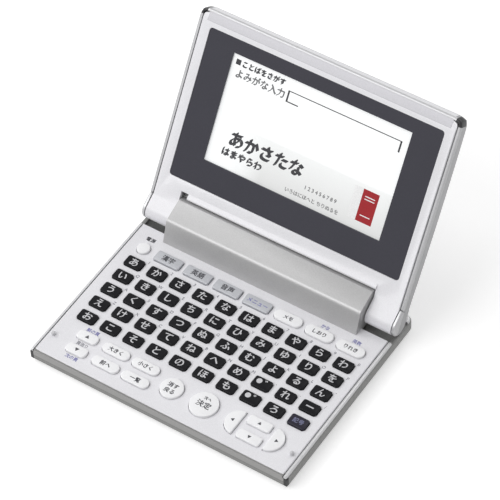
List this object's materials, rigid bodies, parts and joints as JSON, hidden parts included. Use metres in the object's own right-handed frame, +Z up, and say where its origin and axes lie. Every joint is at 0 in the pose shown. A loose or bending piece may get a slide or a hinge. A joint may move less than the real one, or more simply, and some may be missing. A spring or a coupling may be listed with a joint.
{
  "type": "electronic dictionary",
  "caption": "Folding pocket dictionary: kana keyboard half and screen half turning on a long cell housing, with sprung keys, friction lid hinge and sliding cell cover.",
  "frame": {"origin": "middle of the lower half's footprint, at the level the feet stand on", "axes": "+X to the right of the user, +Y from the user towards the hinge, +Z up; the lid is stored leaning back 123.35 degrees from shut"},
  "size_m": [0.1238, 0.1375, 0.0879],
  "materials": {
    "fascia_white": "satin pearl paint",
    "bead_silver": "satin silver",
    "case_grey": "satin grey metallic",
    "cover_silver": "satin silver metallic",
    "housing_silver": "fine satin metallic",
    "key_black": "gloss",
    "key_grey": "satin",
    "key_white": "satin gloss",
    "screen_dark": "gloss",
    "screen_lit": "smooth, pale display",
    "frame_steel": "pressed sheet",
    "board_green": "solder resist",
    "silicone": "matt silicone",
    "cell_wrap": "printed foil sleeve",
    "contact_plate": "nickel plate",
    "pin_steel": "ground",
    "clutch_steel": "oiled spring steel",
    "screw_black": "black oxide",
    "foot_rubber": "matt",
    "bumper_rubber": "matt",
    "ribbon_amber": "polyimide film"
  },
  "bodies": {
    "base": {"base_trim": "bead_silver", "battery_contacts": "contact_plate", "case_screws": "screw_black", "cell_left": "cell_wrap", "cell_right": "cell_wrap", "hinge_housing": "housing_silver", "hinge_pin_left": "pin_steel", "hinge_pin_right": "pin_steel", "key_membrane": "silicone", "lid_bumpers": "bumper_rubber", "lower_case": "case_grey", "main_board": "board_green", "rubber_feet": "foot_rubber", "upper_case": "fascia_white"},
    "lid": {"hinge_clutch_left": "clutch_steel", "hinge_clutch_right": "clutch_steel", "lcd_frame": "frame_steel", "lcd_glass": "screen_lit", "lid_back": "cover_silver", "lid_bead": "bead_silver", "lid_bezel": "fascia_white", "lid_ribbon": "ribbon_amber", "screen_surround": "screen_dark"},
    "battery_cover": {"battery_cover": "case_grey"},
    "kana_keys_a": {"kana_keys_a": "key_black"},
    "kana_keys_ha": {"kana_keys_ha": "key_black"},
    "kana_keys_ka": {"kana_keys_ka": "key_black"},
    "kana_keys_ma": {"kana_keys_ma": "key_black"},
    "kana_keys_na": {"kana_keys_na": "key_black"},
    "kana_keys_ra": {"kana_keys_ra": "key_black"},
    "kana_keys_sa": {"kana_keys_sa": "key_black"},
    "kana_keys_ta": {"kana_keys_ta": "key_black"},
    "kana_keys_wa": {"kana_keys_wa": "key_black"},
    "kana_keys_ya": {"kana_keys_ya": "key_black"},
    "key_down": {"key_down": "key_white"},
    "key_left": {"key_left": "key_white"},
    "key_oval_1": {"key_oval_1": "key_white"},
    "key_oval_2": {"key_oval_2": "key_white"},
    "key_oval_3": {"key_oval_3": "key_white"},
    "key_page_down": {"key_page_down": "key_white"},
    "key_page_up": {"key_page_up": "key_white"},
    "key_pill_1": {"key_pill_1": "key_white"},
    "key_pill_2": {"key_pill_2": "key_white"},
    "key_pill_3": {"key_pill_3": "key_white"},
    "key_pill_4": {"key_pill_4": "key_white"},
    "key_power": {"key_power": "key_white"},
    "key_right": {"key_right": "key_white"},
    "key_round_large": {"key_round_large": "key_white"},
    "key_round_small": {"key_round_small": "key_white"},
    "key_tab_1": {"key_tab_1": "key_grey"},
    "key_tab_2": {"key_tab_2": "key_grey"},
    "key_tab_3": {"key_tab_3": "key_grey"},
    "key_tab_4": {"key_tab_4": "key_grey"},
    "key_up": {"key_up": "key_white"}
  },
  "joints": [
    {"name": "lid_hinge", "type": "hinge", "parent": "base", "child": "lid", "pos_m": [0, 0.03815, 0.0115], "axis": [-1, 0, 0], "range_deg": [-123.35, 26.65]},
    {"name": "battery_cover_slide", "type": "slide", "parent": "base", "child": "battery_cover", "axis": [0, 1, 0], "range_m": [0, 0.0215]},
    {"name": "kana_keys_a_press", "type": "slide", "parent": "base", "child": "kana_keys_a", "axis": [0, 0, -1], "range_m": [0, 0.0007], "stiffness_N_per_m": 300},
    {"name": "kana_keys_ha_press", "type": "slide", "parent": "base", "child": "kana_keys_ha", "axis": [0, 0, -1], "range_m": [0, 0.0007], "stiffness_N_per_m": 300},
    {"name": "kana_keys_ka_press", "type": "slide", "parent": "base", "child": "kana_keys_ka", "axis": [0, 0, -1], "range_m": [0, 0.0007], "stiffness_N_per_m": 300},
    {"name": "kana_keys_ma_press", "type": "slide", "parent": "base", "child": "kana_keys_ma", "axis": [0, 0, -1], "range_m": [0, 0.0007], "stiffness_N_per_m": 300},
    {"name": "kana_keys_na_press", "type": "slide", "parent": "base", "child": "kana_keys_na", "axis": [0, 0, -1], "range_m": [0, 0.0007], "stiffness_N_per_m": 300},
    {"name": "kana_keys_ra_press", "type": "slide", "parent": "base", "child": "kana_keys_ra", "axis": [0, 0, -1], "range_m": [0, 0.0007], "stiffness_N_per_m": 300},
    {"name": "kana_keys_sa_press", "type": "slide", "parent": "base", "child": "kana_keys_sa", "axis": [0, 0, -1], "range_m": [0, 0.0007], "stiffness_N_per_m": 300},
    {"name": "kana_keys_ta_press", "type": "slide", "parent": "base", "child": "kana_keys_ta", "axis": [0, 0, -1], "range_m": [0, 0.0007], "stiffness_N_per_m": 300},
    {"name": "kana_keys_wa_press", "type": "slide", "parent": "base", "child": "kana_keys_wa", "axis": [0, 0, -1], "range_m": [0, 0.0007], "stiffness_N_per_m": 300},
    {"name": "kana_keys_ya_press", "type": "slide", "parent": "base", "child": "kana_keys_ya", "axis": [0, 0, -1], "range_m": [0, 0.0007], "stiffness_N_per_m": 300},
    {"name": "key_down_press", "type": "slide", "parent": "base", "child": "key_down", "axis": [0, 0, -1], "range_m": [0, 0.0007], "stiffness_N_per_m": 300},
    {"name": "key_left_press", "type": "slide", "parent": "base", "child": "key_left", "axis": [0, 0, -1], "range_m": [0, 0.0007], "stiffness_N_per_m": 300},
    {"name": "key_oval_1_press", "type": "slide", "parent": "base", "child": "key_oval_1", "axis": [0, 0, -1], "range_m": [0, 0.0007], "stiffness_N_per_m": 300},
    {"name": "key_oval_2_press", "type": "slide", "parent": "base", "child": "key_oval_2", "axis": [0, 0, -1], "range_m": [0, 0.0007], "stiffness_N_per_m": 300},
    {"name": "key_oval_3_press", "type": "slide", "parent": "base", "child": "key_oval_3", "axis": [0, 0, -1], "range_m": [0, 0.0007], "stiffness_N_per_m": 300},
    {"name": "key_page_down_press", "type": "slide", "parent": "base", "child": "key_page_down", "axis": [0, 0, -1], "range_m": [0, 0.0007], "stiffness_N_per_m": 300},
    {"name": "key_page_up_press", "type": "slide", "parent": "base", "child": "key_page_up", "axis": [0, 0, -1], "range_m": [0, 0.0007], "stiffness_N_per_m": 300},
    {"name": "key_pill_1_press", "type": "slide", "parent": "base", "child": "key_pill_1", "axis": [0, 0, -1], "range_m": [0, 0.0007], "stiffness_N_per_m": 300},
    {"name": "key_pill_2_press", "type": "slide", "parent": "base", "child": "key_pill_2", "axis": [0, 0, -1], "range_m": [0, 0.0007], "stiffness_N_per_m": 300},
    {"name": "key_pill_3_press", "type": "slide", "parent": "base", "child": "key_pill_3", "axis": [0, 0, -1], "range_m": [0, 0.0007], "stiffness_N_per_m": 300},
    {"name": "key_pill_4_press", "type": "slide", "parent": "base", "child": "key_pill_4", "axis": [0, 0, -1], "range_m": [0, 0.0007], "stiffness_N_per_m": 300},
    {"name": "key_power_press", "type": "slide", "parent": "base", "child": "key_power", "axis": [0, 0, -1], "range_m": [0, 0.0007], "stiffness_N_per_m": 300},
    {"name": "key_right_press", "type": "slide", "parent": "base", "child": "key_right", "axis": [0, 0, -1], "range_m": [0, 0.0007], "stiffness_N_per_m": 300},
    {"name": "key_round_large_press", "type": "slide", "parent": "base", "child": "key_round_large", "axis": [0, 0, -1], "range_m": [0, 0.0007], "stiffness_N_per_m": 300},
    {"name": "key_round_small_press", "type": "slide", "parent": "base", "child": "key_round_small", "axis": [0, 0, -1], "range_m": [0, 0.0007], "stiffness_N_per_m": 300},
    {"name": "key_tab_1_press", "type": "slide", "parent": "base", "child": "key_tab_1", "axis": [0, 0, -1], "range_m": [0, 0.0007], "stiffness_N_per_m": 300},
    {"name": "key_tab_2_press", "type": "slide", "parent": "base", "child": "key_tab_2", "axis": [0, 0, -1], "range_m": [0, 0.0007], "stiffness_N_per_m": 300},
    {"name": "key_tab_3_press", "type": "slide", "parent": "base", "child": "key_tab_3", "axis": [0, 0, -1], "range_m": [0, 0.0007], "stiffness_N_per_m": 300},
    {"name": "key_tab_4_press", "type": "slide", "parent": "base", "child": "key_tab_4", "axis": [0, 0, -1], "range_m": [0, 0.0007], "stiffness_N_per_m": 300},
    {"name": "key_up_press", "type": "slide", "parent": "base", "child": "key_up", "axis": [0, 0, -1], "range_m": [0, 0.0007], "stiffness_N_per_m": 300}
  ]
}
